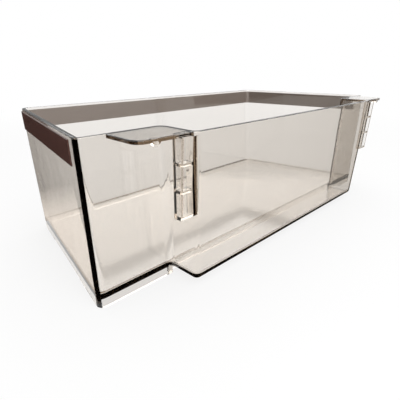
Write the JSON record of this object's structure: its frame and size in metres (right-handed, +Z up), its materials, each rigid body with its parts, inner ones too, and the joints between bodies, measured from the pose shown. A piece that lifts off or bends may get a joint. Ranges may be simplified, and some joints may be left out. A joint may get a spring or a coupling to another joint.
{
  "type": "refrigerator door bin",
  "caption": "Clear smoky plastic door bin for a refrigerator, with a stepped rear wall, hanging tabs, ribbed hook columns and an opaque trim band around its front and sides.",
  "frame": {"origin": "middle of the bin's box, on the surface that it stands on", "axes": "+X along the bin's width, +Y towards the door that it hangs on, +Z up"},
  "size_m": [0.4178, 0.2078, 0.122],
  "materials": {
    "clear_plastic": "clear smoky plastic, polished",
    "trim": "satin grey-brown"
  },
  "bodies": {
    "root": {"tub": "clear_plastic", "trim_band": "trim"}
  },
  "joints": []
}
